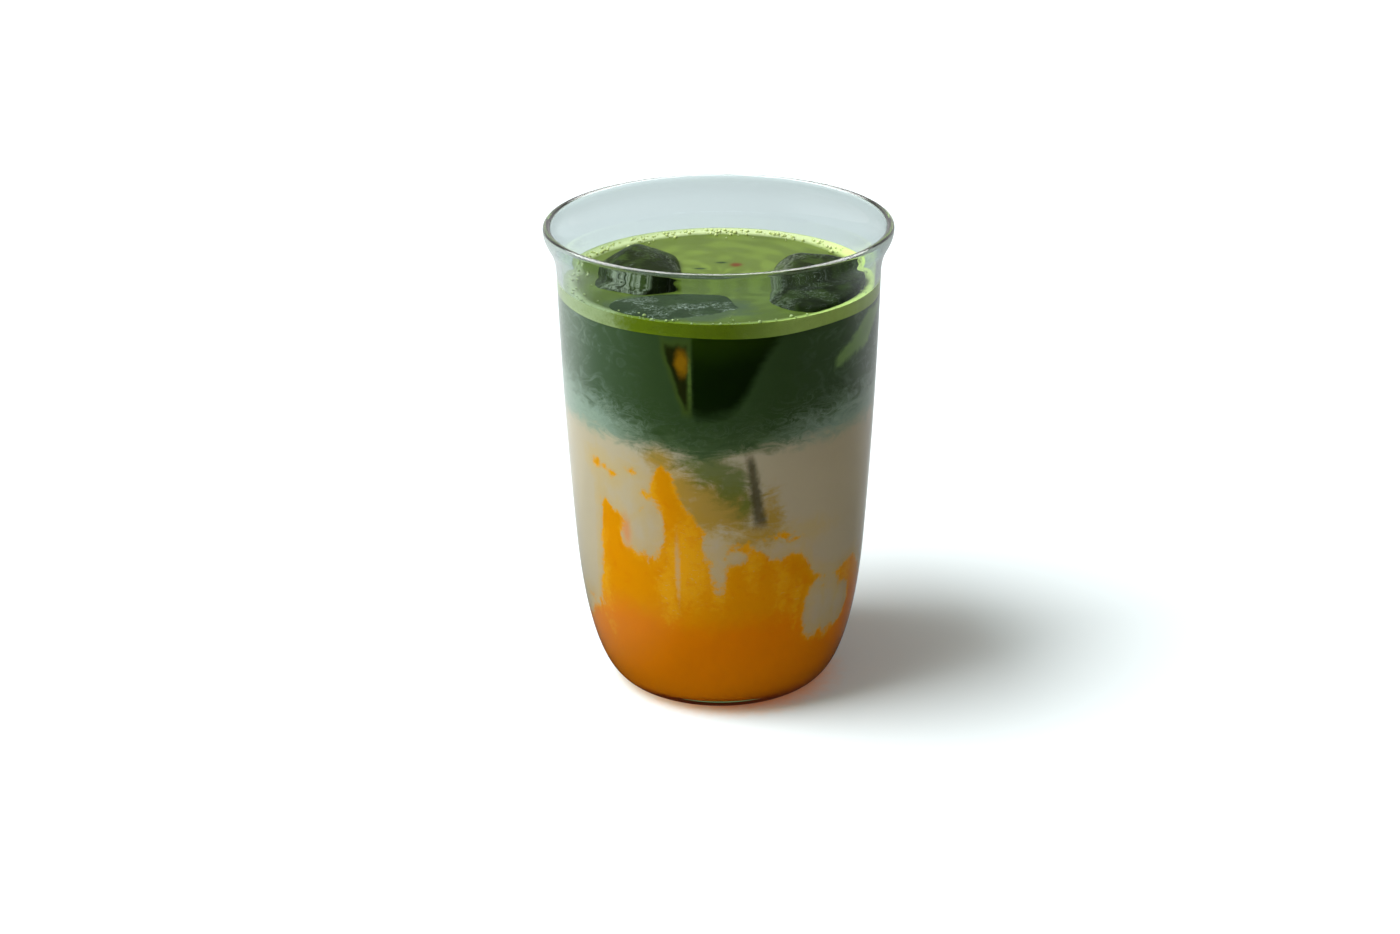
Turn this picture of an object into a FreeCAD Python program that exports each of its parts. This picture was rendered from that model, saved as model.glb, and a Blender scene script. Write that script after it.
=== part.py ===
"""Iced layered matcha latte in a flared glass tumbler.

Millimetres, +Z up. The origin is the centre of the glass's foot, on the surface it
stands on, and -Y is the front. Angles are in degrees round the glass, 0 at the front
and positive towards +X.
"""

import FreeCAD, Part

import math
import os

# --- the glass ---------------------------------------------------------------
glass_height = 124.0
lip_radius = 44.45        # outermost radius of the rolled lip
lip_thickness = 2.0       # the lip is fire-polished to a full round
lip_drop = 13.0           # the flare starts this far below the top
lip_pull = (0.65, 0.34)   # how long the S-curve keeps its direction at each end
neck_radius = 41.25       # outside, where the flare starts
wall_taper = 0.022        # radius lost for each mm below the neck
wall_bow = 0.00036        # and for each square mm
shoulder_height = 40.0    # the wall turns in below this height
shoulder_pull = (0.66, 0.475)
foot_radius = 24.3        # flat the glass stands on
wall_thickness = 1.6
floor_thickness = 3.4

# --- the drink ---------------------------------------------------------------
level_depth = 14.5        # liquid surface below the top of the glass
matcha_floor_height = 73.5
matcha_floor_wave = 1.4   # how far the cloudy border rises and falls
mango_height = 44.0       # mean height of the mango's border at the wall
mango_core_height = 38.0  # and at the centre
milk_least = 1.6          # milk left over the tallest tongue of mango

# Tongues of mango that rise into the milk (+) and milk that sinks into the mango (-):
# angle, half-width in degrees, rise in mm at the wall.
mango_lobes = (
    (-62, 8, -21), (-50, 6, 19), (-32, 7, -8), (-21, 7, 29), (0, 7, -6),
    (12, 9, 6), (46, 8, -25), (66, 9, -2), (92, 10, -14), (116, 12, 17),
    (141, 9, -12), (166, 10, 21), (-166, 8, -10), (-142, 11, 16), (-108, 12, 9),
    (-86, 9, -3),
)
lobe_reach = 3.0          # power of the radius: lobes stay close to the wall

# --- the foam on top ---------------------------------------------------------
foam_film = 0.9           # over the whole surface
foam_band_depth = 2.8     # down the wall
foam_band_width = 5.0     # inwards from the wall, where it thins to the film
meniscus = 0.7            # creeps up the wall
meniscus_width = 2.2

# --- the ice that floats -----------------------------------------------------
ice_wall_gap = 2.4
ice_gap = 3.0             # between neighbours
ice_melt = 0.15           # corner radius, as a share of the smallest edge
# name, angle round the glass, distance of the centre from the axis, edges, spin,
# lean, angle it leans towards, top above the liquid, angles between which it keeps
ice_pieces = (
    ("ice_left", -88, 19.5, (24, 33, 24), 6, 13, -50, 6.8, (-178, -57)),
    ("ice_front", -24, 24.5, (35, 27, 23), -6, 2.5, 30, 1.3, (-57, 18)),
    ("ice_right", 62, 26.5, (25, 38, 26), -6, 9, 25, 5.8, (18, 160)),
)

surface_grid = 45         # points each way on a layer's border


# --- the glass's profile -----------------------------------------------------
neck_height = glass_height - lip_drop
level = glass_height - level_depth
lip_round = lip_thickness / 2


def wall_radius(z):
    """Outer radius of the wall between the shoulder and the neck: a line with a bow."""
    below = neck_height - z
    return neck_radius - wall_taper * below - wall_bow * below**2


def vector(point):
    return FreeCAD.Vector(point[0], 0, point[1])


def line(a, b):
    return Part.LineSegment(vector(a), vector(b)).toShape()


def bezier(*points):
    curve = Part.BezierCurve()
    curve.setPoles([vector(p) for p in points])
    return curve.toShape()


def profile(inset, lip_inset, floor):
    """Edges of a wall from its flat bottom, at height floor, up to the lip.

    The corner leaves the bottom level and meets the wall along its slope, the wall is a
    parabola, and the lip is an S-curve that ends upright. The wall lies inset inside
    the glass's outer face, the lip lip_inset inside it. Also returns both ends.
    """
    low = (foot_radius - inset, floor)
    shoulder = (wall_radius(shoulder_height) - inset, shoulder_height)
    neck = (neck_radius - inset, neck_height)
    top = (lip_radius - lip_inset, glass_height - lip_round)
    rise = neck_height - shoulder_height
    slope = wall_taper + 2 * wall_bow * rise
    down, across = (k * d for k, d in zip(shoulder_pull, (shoulder_height - floor,
                                                          shoulder[0] - low[0])))
    up, back = (k * (top[1] - neck[1]) for k in lip_pull)
    edges = [
        bezier(low, (low[0] + across, floor),
               (shoulder[0] - slope * down, shoulder_height - down), shoulder),
        bezier(shoulder, (neck[0] - wall_taper * rise / 2, neck_height - rise / 2), neck),
        bezier(neck, (neck[0] + wall_taper * up, neck[1] + up), (top[0], top[1] - back),
               top),
    ]
    return edges, low, top


def revolve(edges):
    """Solid of revolution about Z from the edges of a closed half profile."""
    face = Part.Face(Part.Wire(edges))
    return face.revolve(FreeCAD.Vector(0, 0, 0), FreeCAD.Vector(0, 0, 1), 360)


def make_glass():
    outer, outer_low, outer_top = profile(0, 0, 0)
    inner, inner_low, inner_top = profile(wall_thickness, lip_thickness, floor_thickness)
    middle = outer_top[0] - lip_round
    crown = (middle, glass_height)
    slant = lip_round * math.sqrt(0.5)
    lip = [Part.Arc(vector(start), vector((middle + side * slant, outer_top[1] + slant)),
                    vector(end)).toShape()
           for start, side, end in ((outer_top, 1, crown), (crown, -1, inner_top))]
    return revolve(
        [line((0, 0), outer_low)] + outer + lip + inner[::-1]
        + [line(inner_low, (0, inner_low[1])), line((0, inner_low[1]), (0, 0))])


def make_cavity(gap=0.0):
    """The space inside the glass, up to the lip, less a gap to the glass."""
    inner, low, top = profile(wall_thickness + gap, lip_thickness + gap,
                              floor_thickness + gap)
    return revolve([line((0, low[1]), low)] + inner
                   + [line(top, (0, top[1])), line((0, top[1]), (0, low[1]))])


# --- the layers --------------------------------------------------------------
def angle_from(a, b):
    """Smallest turn from b to a, in degrees."""
    return (a - b + 180) % 360 - 180


def mango_top(radius, angle):
    near_wall = min(1.0, radius / wall_radius(mango_height))
    rise = sum(h * math.exp(-(angle_from(angle, a) / w) ** 2) for a, w, h in mango_lobes)
    plain = mango_core_height + (mango_height - mango_core_height) * near_wall**2
    return min(plain + rise * near_wall**lobe_reach,
               matcha_floor(radius, angle) - milk_least)


def matcha_floor(radius, angle):
    near_wall = min(1.0, radius / neck_radius)
    turn = math.radians(angle)
    ripple = math.sin(3 * turn + 0.6) + 0.6 * math.sin(5 * turn - 1.1)
    return matcha_floor_height + matcha_floor_wave * ripple * near_wall


def ground_below(height_at):
    """Solid under the surface z = height_at(radius, angle), wider than the glass."""
    half = lip_radius + wall_thickness
    rows = []
    for i in range(surface_grid):
        x = half * (2 * i / (surface_grid - 1) - 1)
        row = []
        for j in range(surface_grid):
            y = half * (2 * j / (surface_grid - 1) - 1)
            angle = math.degrees(math.atan2(x, -y))
            row.append(FreeCAD.Vector(x, y, height_at(math.hypot(x, y), angle)))
        rows.append(row)
    surface = Part.BSplineSurface()
    surface.interpolate(rows)
    return surface.toShape().extrude(FreeCAD.Vector(0, 0, -2 * glass_height))


def slab(low, high):
    """Everything between two heights."""
    half = 2 * lip_radius
    return Part.makeBox(2 * half, 2 * half, high - low,
                        FreeCAD.Vector(-half, -half, low))


def make_foam(cavity):
    """Film over the drink that thickens to a band, and creeps up, along the wall."""
    wide = lip_radius
    edge = wall_radius(level) - wall_thickness
    blank = revolve([
        line((0, level - foam_film), (edge - foam_band_width, level - foam_film)),
        line((edge - foam_band_width, level - foam_film), (edge, level - foam_band_depth)),
        line((edge, level - foam_band_depth), (wide, level - foam_band_depth)),
        line((wide, level - foam_band_depth), (wide, level + meniscus)),
        line((wide, level + meniscus), (edge, level + meniscus)),
        line((edge, level + meniscus), (edge - meniscus_width, level)),
        line((edge - meniscus_width, level), (0, level)),
        line((0, level), (0, level - foam_film)),
    ])
    return cavity.common(blank)


# --- the ice -----------------------------------------------------------------
def sector(start, end):
    """The wedge of space between two angles round the glass, less half the ice gap."""
    reach = 3 * lip_radius
    middle = math.radians((start + end) / 2)
    half = math.radians((end - start) / 2)
    tip = ice_gap / 2 / math.sin(half)
    points = [FreeCAD.Vector(tip * math.sin(middle), -tip * math.cos(middle), 0)]
    for side in (-1, 0, 1):
        turn = middle + side * half
        points.append(points[0] + FreeCAD.Vector(reach * math.sin(turn),
                                                 -reach * math.cos(turn), 0))
    face = Part.Face(Part.makePolygon(points + [points[0]]))
    return face.extrude(FreeCAD.Vector(0, 0, 2 * glass_height))


def make_ice(angle, distance, edges, spin, lean, lean_towards, rise, keep, room):
    """A melted cube, turned, leaning, floated to its height, kept off its neighbours."""
    x, y, z = edges
    block = Part.makeBox(x, y, z, FreeCAD.Vector(-x / 2, -y / 2, -z / 2))
    block = block.makeFillet(ice_melt * min(edges), block.Edges)
    tip = math.radians(lean_towards)
    turn = (FreeCAD.Rotation(FreeCAD.Vector(math.cos(tip), math.sin(tip), 0), lean)
            * FreeCAD.Rotation(FreeCAD.Vector(0, 0, 1), spin))
    block.Placement = FreeCAD.Placement(FreeCAD.Vector(0, 0, 0), turn)
    way = math.radians(angle)
    block.translate(FreeCAD.Vector(distance * math.sin(way), -distance * math.cos(way),
                                   level + rise - block.BoundBox.ZMax))
    return block.common(sector(*keep)).common(room)


# --- building ----------------------------------------------------------------
def save(name, shape):
    shape.exportStep("parts/%s.step" % name)
    print("%-12s %8.0f mm3  %d solid" % (name, shape.Volume, len(shape.Solids)))


def main():
    os.makedirs("parts", exist_ok=True)
    cavity = make_cavity()
    room = make_cavity(ice_wall_gap)
    mango_ground = ground_below(mango_top)
    milk_ground = ground_below(matcha_floor)
    foam = make_foam(cavity)
    ice = {piece[0]: make_ice(*piece[1:], room) for piece in ice_pieces}

    layers = {
        "mango_puree": cavity.common(mango_ground),
        "milk": cavity.common(milk_ground).cut(mango_ground),
        "matcha": cavity.common(slab(0, level)).cut(milk_ground).cut(foam),
        "foam": foam,
    }
    for name in layers:
        for cube in ice.values():
            layers[name] = layers[name].cut(cube)

    save("glass", make_glass())
    for name, shape in list(layers.items()) + list(ice.items()):
        save(name, shape)


main()
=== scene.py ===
"""Iced layered matcha latte in a clear flared tumbler: looks, light and camera.

Sizes inside the functions are in millimetres and become metres when a mesh is written.
+Z is up, -Y is the front, and angles go round the glass from 0 at the front, positive
towards +X.
"""

import math

import bpy
import numpy as np
from mathutils import Matrix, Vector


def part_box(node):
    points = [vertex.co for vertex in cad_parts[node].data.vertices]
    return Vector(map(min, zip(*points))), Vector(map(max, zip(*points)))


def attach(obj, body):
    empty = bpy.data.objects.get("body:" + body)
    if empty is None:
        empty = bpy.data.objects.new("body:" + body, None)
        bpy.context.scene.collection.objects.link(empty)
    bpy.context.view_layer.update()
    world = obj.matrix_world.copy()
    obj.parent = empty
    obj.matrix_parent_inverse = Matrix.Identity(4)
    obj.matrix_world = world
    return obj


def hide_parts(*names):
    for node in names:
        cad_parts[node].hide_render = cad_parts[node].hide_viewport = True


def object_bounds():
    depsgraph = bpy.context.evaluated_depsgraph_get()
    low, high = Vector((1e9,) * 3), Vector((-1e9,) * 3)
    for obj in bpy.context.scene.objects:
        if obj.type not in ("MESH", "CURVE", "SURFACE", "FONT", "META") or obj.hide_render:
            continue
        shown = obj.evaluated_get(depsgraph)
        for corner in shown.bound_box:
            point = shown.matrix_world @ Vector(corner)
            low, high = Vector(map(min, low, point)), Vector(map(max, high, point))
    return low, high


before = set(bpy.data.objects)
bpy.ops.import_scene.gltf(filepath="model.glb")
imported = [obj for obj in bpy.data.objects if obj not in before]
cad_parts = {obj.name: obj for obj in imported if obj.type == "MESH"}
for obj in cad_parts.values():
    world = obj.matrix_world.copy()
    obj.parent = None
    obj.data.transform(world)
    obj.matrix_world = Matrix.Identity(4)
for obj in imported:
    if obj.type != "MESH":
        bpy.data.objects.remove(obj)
cad_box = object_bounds()

bl_info = {
    "name": "Iced matcha latte",
    "version": (1, 0, 0),
    "blender": (4, 5, 0),
    "location": "View3D > Sidebar > Latte",
    "description": "Builds a layered iced drink in a flared glass, with its stage",
    "category": "Add Mesh",
}

MM = 0.001
GLASS_HEIGHT = float(cad_box[1][2] - cad_box[0][2])


# --- sizes and colours a user would change -----------------------------------
def mm_setting(name, description, default):
    """Setting for a size in mm."""
    return bpy.props.FloatProperty(name=name, description=description, default=default)


def colour_setting(name, description, default):
    """Setting for a linear colour."""
    return bpy.props.FloatVectorProperty(
        name=name, description=description, subtype="COLOR", size=3, min=0, max=1,
        default=default)


class GlassSizes(bpy.types.PropertyGroup):
    """The tumbler's profile."""

    lip_radius: mm_setting(
        "Lip radius", "Outermost radius of the rolled lip, in mm", 44.45)
    lip_thickness: mm_setting("Lip thickness", "Thickness of the rounded lip, in mm", 2.0)
    lip_drop: mm_setting("Lip drop", "Height of the flare, in mm", 13.0)
    lip_pull: bpy.props.FloatVectorProperty(
        name="Lip pull", description="How long the flare keeps its direction at each end",
        size=2, default=(0.65, 0.34))
    neck_radius: mm_setting("Neck radius", "Outer radius under the flare, in mm", 41.25)
    wall_taper: bpy.props.FloatProperty(
        name="Taper", description="Radius lost for each mm below the neck",
        default=0.022, precision=4)
    wall_bow: bpy.props.FloatProperty(
        name="Bow", description="Radius lost for each square mm below the neck",
        default=0.00036, precision=5)
    shoulder_height: mm_setting("Shoulder", "Height where the wall turns in, in mm", 40.0)
    shoulder_pull: bpy.props.FloatVectorProperty(
        name="Shoulder pull", description="Fullness of the corner at wall and foot",
        size=2, default=(0.66, 0.475))
    foot_radius: mm_setting("Foot radius", "Flat that the glass stands on, in mm", 24.3)
    wall: mm_setting("Wall", "Wall thickness, in mm", 1.6)
    floor: mm_setting("Floor", "Floor thickness, in mm", 3.4)
    tint: colour_setting("Tint", "Colour of light through one wall", (0.69, 0.755, 0.79))
    depth_of_tint: bpy.props.FloatProperty(
        name="Depth of tint", description="How much green a metre of glass soaks up",
        default=80.0)


class DrinkSizes(bpy.types.PropertyGroup):
    """Heights of the layers and the ice that floats in them."""

    level_depth: mm_setting("Level", "Surface below the top of the glass, in mm", 14.5)
    wetting: mm_setting("Wetting", "How far the drink reaches into the wall, in mm", 0.25)
    foam_band: mm_setting("Foam band", "Depth of the foam along the glass, in mm", 2.7)
    foam_ring: mm_setting("Foam ring", "Width of the thick foam at the wall, in mm", 3.6)
    foam_film: mm_setting("Film", "Thickness of the foam away from the wall, in mm", 0.9)
    meniscus: mm_setting("Meniscus", "How far the foam creeps up the wall, in mm", 0.7)
    matcha_floor: mm_setting(
        "Tea border", "Height of the border over the milk, in mm", 73.5)
    mango_height: mm_setting(
        "Mango border", "Mean height of the puree's border, in mm", 44.0)
    mango_core: mm_setting("Mango core", "Height of the puree at the axis, in mm", 38.0)
    bubbles: bpy.props.IntProperty(
        name="Bubbles", description="Bubbles that stand on the foam", default=260)


class DrinkColours(bpy.types.PropertyGroup):
    """What each layer is coloured."""

    mango: colour_setting("Mango", "Puree", (0.84, 0.255, 0.001))
    mango_yellow: colour_setting(
        "Thin mango", "Puree where milk thins it", (0.90, 0.44, 0.012))
    milk: colour_setting("Milk", "Milk", (0.60, 0.505, 0.385))
    ochre: colour_setting(
        "Ochre", "Milk, mango and tea stirred together", (0.48, 0.29, 0.03))
    tea: colour_setting("Tea", "Matcha", (0.045, 0.082, 0.028))
    tea_deep: colour_setting(
        "Deep tea", "Matcha in front of sunk ice", (0.0045, 0.014, 0.0006))
    cloud: colour_setting("Cloud", "Milk that drifts in the tea", (0.31, 0.40, 0.34))
    foam: colour_setting("Foam", "Foam", (0.143, 0.210, 0.008))
    film: colour_setting("Film", "Thin foam between the ice", (0.083, 0.126, 0.019))
    ice: colour_setting("Ice", "Tea seen through the ice", (0.008, 0.014, 0.003))


class StageSettings(bpy.types.PropertyGroup):
    """Studio floor, lamp and camera."""

    key_power: bpy.props.FloatProperty(
        name="Key power", description="Power of the large lamp, in watts", default=14.9)
    key_turn: bpy.props.FloatProperty(
        name="Key turn", description="Where the lamp stands round the glass",
        subtype="ANGLE", default=math.radians(-76))
    key_height: bpy.props.FloatProperty(
        name="Key height", description="How high the lamp stands", subtype="ANGLE",
        default=math.radians(59.5))
    key_distance: bpy.props.FloatProperty(
        name="Key distance", description="From the glass to the lamp",
        subtype="DISTANCE", unit="LENGTH", default=0.85)
    key_size: bpy.props.FloatProperty(
        name="Key size", description="Side of the square lamp", subtype="DISTANCE",
        unit="LENGTH", default=0.52)
    fill: bpy.props.FloatProperty(
        name="Fill", description="Light from the room on matt surfaces", default=0.34)
    lens: bpy.props.FloatProperty(
        name="Lens", description="Focal length, in mm", default=69.43)
    eye: bpy.props.FloatVectorProperty(
        name="Eye", description="Where the camera stands", subtype="XYZ",
        unit="LENGTH", size=3, default=(-0.0052, -0.6560, 0.3220))
    pitch: bpy.props.FloatProperty(
        name="Pitch", description="Camera's tilt from straight down", subtype="ANGLE",
        default=math.radians(68.007))
    roll: bpy.props.FloatProperty(
        name="Roll", description="Camera's turn about its own view", subtype="ANGLE",
        default=math.radians(-0.513))


# --- meshes ------------------------------------------------------------------
def make_mesh(name, points, faces, smooth=True, **fields):
    """Mesh object from points in mm and faces; each field is one number a point."""
    mesh = bpy.data.meshes.new(name)
    mesh.from_pydata(points * MM, [], faces)
    for field, values in fields.items():
        layer = mesh.attributes.new(field, "FLOAT", "POINT")
        layer.data.foreach_set("value", np.ascontiguousarray(values, dtype=np.float32))
    if smooth:
        mesh.shade_smooth()
        mesh.set_sharp_from_angle(angle=math.radians(50))
    mesh.validate()
    piece = bpy.data.objects.new(name, mesh)
    bpy.context.scene.collection.objects.link(piece)
    return piece


def grid_faces(count, rows):
    """Quads and two fans of triangles of a grid that closes on itself round an axis.

    Point (i, j) of count turns and rows is number i * rows + j, and the first and last
    pole come after the grid. Seen from outside, a ball's faces run against the clock.
    """
    i, j = np.arange(count)[:, None], np.arange(rows - 1)[None, :]
    here, there = i * rows + j, (i + 1) % count * rows + j
    quads = np.stack([here, here + 1, there + 1, there], axis=2).reshape(-1, 4)
    here, there = i[:, 0] * rows, (i[:, 0] + 1) % count * rows
    pole = np.full(count, count * rows)
    first = np.stack([pole, here, there], axis=1)
    last = np.stack([pole + 1, there + rows - 1, here + rows - 1], axis=1)
    return quads, first, last


def ball(count, rows):
    """Points of a unit ball: (sin v cos u, sin v sin u, cos v), then its two poles."""
    v, u = np.meshgrid(np.linspace(0, np.pi, rows + 2)[1:-1],
                       np.linspace(0, 2 * np.pi, count, endpoint=False))
    grid = np.stack([np.sin(v) * np.cos(u), np.sin(v) * np.sin(u), np.cos(v)], axis=2)
    return np.concatenate([grid.reshape(-1, 3), [[0, 0, 1], [0, 0, -1]]])


def lathe(radius, height, turns):
    """Closed surface of revolution whose profile may change with the angle.

    radius and height are (turn, row) grids and turns the angles; point (i, j) lies at
    (r sin a, -r cos a, h). The first and last rows lie on the axis, so each is kept as
    one point with a fan of triangles. The profile runs from the bottom of the axis
    outwards and up; a shell that starts with its inside has its faces turned over later.
    """
    count, rows = radius.shape
    x = radius * np.sin(turns)[:, None]
    y = -radius * np.cos(turns)[:, None]
    grid = np.stack([x, y, height], axis=2)[:, 1:-1].reshape(-1, 3)
    ends = np.array([[0, 0, height[:, 0].mean()], [0, 0, height[:, -1].mean()]])
    faces = []
    for group in grid_faces(count, rows - 2):
        faces += group[:, [0, *range(group.shape[1] - 1, 0, -1)]].tolist()
    return np.concatenate([grid, ends]), faces


def on_lathe(values):
    """A (turn, row) grid of numbers in the order of lathe's points."""
    return np.concatenate([values[:, 1:-1].ravel(), [values[:, 0].mean(),
                                                     values[:, -1].mean()]])


def ripple(points, size, seed, waves=24):
    """Smooth noise from -1 to 1: the mean of sine waves of about one length.

    Wave k is sin(2 pi p.d_k / size_k + phase_k) with its own direction d_k.
    """
    rng = np.random.default_rng(seed)
    way = rng.normal(size=(waves, points.shape[-1]))
    way /= np.linalg.norm(way, axis=1, keepdims=True)
    way *= 2 * np.pi / (size * rng.uniform(0.7, 1.6, waves))[:, None]
    phase = rng.uniform(0, 2 * np.pi, waves)
    return np.sin(points @ way.T + phase).mean(axis=-1) * math.sqrt(waves) * 0.7


def smooth_step(low, high, x):
    """0 below low, 1 above high, 3t^2 - 2t^3 between."""
    t = np.clip((x - low) / (high - low), 0, 1)
    return t * t * (3 - 2 * t)


def smooth_max(a, b, blend):
    """The larger of two, with a round join: (a + b + sqrt((a-b)^2 + blend^2)) / 2."""
    return 0.5 * (a + b + np.sqrt((a - b) ** 2 + blend**2))


# --- the glass's profile -----------------------------------------------------
def bezier(points, count):
    """Points on a Bezier curve: the sum of C(n,k) (1-t)^(n-k) t^k P_k."""
    points = np.array(points, dtype=float)
    n = len(points) - 1
    t = np.linspace(0, 1, count)[:, None]
    return sum(math.comb(n, k) * (1 - t) ** (n - k) * t**k * points[k]
               for k in range(n + 1))


def wall_radius(size, z):
    """Outer radius at a height between shoulder and neck: a line with a bow."""
    below = GLASS_HEIGHT / MM - size.lip_drop - z
    return size.neck_radius - size.wall_taper * below - size.wall_bow * below**2


def profile(size, inset, lip_inset, floor, rows):
    """(radius, height) along a wall from its flat bottom to the lip, inset into it.

    A corner curve that leaves the bottom level, a parabola up the wall, and an S-curve
    that ends upright at the lip.
    """
    top = GLASS_HEIGHT / MM
    neck_z = top - size.lip_drop
    low = np.array([size.foot_radius - inset, floor])
    shoulder = np.array([wall_radius(size, size.shoulder_height) - inset,
                         size.shoulder_height])
    neck = np.array([size.neck_radius - inset, neck_z])
    end = np.array([size.lip_radius - lip_inset, top - size.lip_thickness / 2])
    rise = neck_z - size.shoulder_height
    slope = size.wall_taper + 2 * size.wall_bow * rise
    down = size.shoulder_pull[0] * (shoulder[1] - floor)
    across = size.shoulder_pull[1] * (shoulder[0] - low[0])
    up, back = (k * (end[1] - neck[1]) for k in size.lip_pull)
    corner = bezier([low, low + (across, 0), shoulder - (slope * down, down), shoulder],
                    rows)
    wall = bezier([shoulder, neck - (size.wall_taper * rise / 2, rise / 2), neck], rows)
    lip = bezier([neck, neck + (size.wall_taper * up, up), end - (0, back), end], rows)
    return np.concatenate([corner, wall[1:], lip[1:]])


def drink_radius(size, wetting):
    """Radius of the drink at any height, just inside the glass's inner face."""
    path = profile(size, size.wall - wetting, size.lip_thickness - wetting,
                   size.floor - wetting, 40)
    return lambda z: np.interp(z, path[:, 1], path[:, 0])


# --- where each layer goes ---------------------------------------------------
MANGO_WALL = 38.0     # radius, in mm, at which the puree's border meets the glass
TEA_WALL = 41.0       # and the tea's
DEGREE = 0.66         # mm along the wall in one degree round the glass
MILK_LEAST = 1.6      # mm of milk over the tallest tongue of puree
TEA_WAVE = 1.4        # mm that the tea's border rises and falls

# Tongues of mango in the milk (+) and milk in the mango (-): angle, half-width in
# degrees, rise at the wall in mm.
MANGO_LOBES = (
    (-62, 8, -21), (-50, 6, 19), (-32, 7, -8), (-21, 7, 29), (0, 7, -6),
    (12, 9, 6), (46, 8, -25), (66, 9, -2), (92, 10, -14), (116, 12, 17),
    (141, 9, -12), (166, 10, 21), (-166, 8, -10), (-142, 11, 16), (-108, 12, 9),
    (-86, 9, -3),
)

# The puree's edge as it shows at the wall: angle and height of each turn.
MANGO_EDGE = (
    (-90, 24), (-80, 21), (-73, 21), (-68, 24), (-62, 26), (-58, 30), (-56, 36),
    (-54.5, 43), (-53, 50), (-51.5, 57.5), (-49.5, 59.5), (-46.5, 57.5), (-41, 56),
    (-37, 54), (-33, 57), (-30, 61.5), (-27, 66), (-24.5, 71), (-22.5, 72.3),
    (-19.5, 70.5), (-16.5, 65.5), (-13.5, 60.5), (-9, 57), (-5, 54.5), (0, 50),
    (4.5, 50.5), (10, 51), (15, 48.5), (20, 45.8), (24, 45.6), (29, 47.3), (33, 46),
    (36, 43), (39, 39.5), (44, 38), (50, 37), (58, 38.5), (66, 38.5), (73, 35),
    (80, 31), (92, 27), (104, 48), (116, 63), (126, 50), (141, 30), (152, 45),
    (166, 67), (178, 50), (192, 36), (204, 44), (218, 62), (232, 49), (252, 56),
    (264, 38), (270, 24),
)

# Blobs on the wall: angle, then height, half-width and half-height in mm.
MILK_BLOBS = (
    (-27.8, 54.2, 3.6, 7.8), (-33.0, 52.8, 3.8, 6.2), (-37.8, 50.6, 2.6, 3.0),
    (-2.0, 51.0, 3.2, 5.6), (-1.2, 44.6, 1.7, 5.6), (5.0, 47.4, 3.0, 1.7),
    (42.5, 28.6, 4.6, 8.0), (49.5, 29.2, 4.4, 8.6), (57.0, 27.2, 4.6, 5.6),
    (131, 40, 4, 8), (186, 52, 4, 7), (240, 34, 4, 8),
)
MANGO_BLOBS = (
    (-53.0, 68.3, 1.8, 1.2), (-49.0, 67.9, 1.6, 0.8), (-45.5, 66.8, 1.5, 0.8),
    (-35.0, 69.2, 1.2, 0.7), (-67.0, 27.2, 1.8, 0.7), (-29.5, 63.2, 1.9, 1.3),
    (23.0, 52.3, 3.6, 0.8), (29.0, 50.8, 1.6, 0.5), (196, 60, 2.4, 1.5),
    (128, 66, 2.2, 1.2),
)
# Where the puree is thinned to yellow, and where milk, puree and tea are stirred.
YELLOW_BLOBS = (
    (-13, 45, 6.0, 12.0), (-21, 38, 3.0, 9.0), (12, 44, 1.6, 4.0), (24, 39, 1.8, 6.0),
    (31, 32, 1.2, 4.0), (-29, 64, 2.6, 4.0), (-54, 38, 1.8, 14.0), (60, 35, 2.0, 2.0),
    (-1, 36, 2.0, 3.0),
    (112, 50, 6, 10), (160, 52, 6, 9), (214, 50, 6, 9), (250, 46, 6, 9),
)
OCHRE_BLOBS = (
    (-13, 66, 4.5, 6.0), (-5, 62, 6.0, 7.5), (4, 61, 5.0, 6.5), (19, 58, 2.4, 5.5),
    (14, 53, 5.0, 2.4), (-23, 74, 3.2, 3.0), (152, 69, 9, 3), (206, 68, 8, 3),
)
TEA_BLOBS = (
    (-3, 72.0, 7.0, 5.5), (4, 68.0, 5.5, 6.5), (9, 62.5, 3.2, 4.5), (-10, 73, 4.0, 3.0),
    (170, 75, 9, 3),
)
# The bright spot in the gap beside the sunk ice, the pink edge and the pale line in the
# puree.
EMBER = (-13.8, 99.8, 2.1, 4.6)
BLUSH = (-38.9, 52.0, 1.7, 4.6)
PALE_LINE = (-17.2, 44.0, 0.9, 11.0)
# The sunk face of the front ice, which shows as a dark block: angle and height down its
# right edge, then along its lower edge.
DARK_EDGE = ((23.3, 107.0), (19.0, 102.5), (15.8, 99.5), (10.8, 92.5), (6.7, 87.9),
             (3.0, 85.6), (-2.0, 84.6), (-8.3, 84.4), (-13.0, 87.5))


def angle_from(a, b):
    """Smallest turn from b to a, in degrees."""
    return (a - b + 180) % 360 - 180


def blob(angle, height, at):
    """mm inside (+) or outside (-) an ellipse on the wall: (1 - r) times its half-width.

    r is the distance from its middle, in half-widths across and half-heights up.
    """
    across = np.radians(angle_from(angle, at[0])) * MANGO_WALL / at[2]
    up = (height - at[1]) / at[3]
    return (1 - np.sqrt(across**2 + up**2)) * min(at[2], at[3])


def blobs(angle, height, group):
    """mm inside the union of a group of ellipses."""
    return np.max([blob(angle, height, at) for at in group], axis=0)


def mango_top(drink, radius, angle):
    """Height of the puree's real border: a dome of lobes that fade inwards."""
    near = np.minimum(1, radius / MANGO_WALL)
    rise = sum(h * np.exp(-((angle_from(angle, a) / w) ** 2)) for a, w, h in MANGO_LOBES)
    plain = drink.mango_core + (drink.mango_height - drink.mango_core) * near**2
    return np.minimum(plain + rise * near**3,
                      tea_bottom(drink, radius, angle) - MILK_LEAST)


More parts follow.
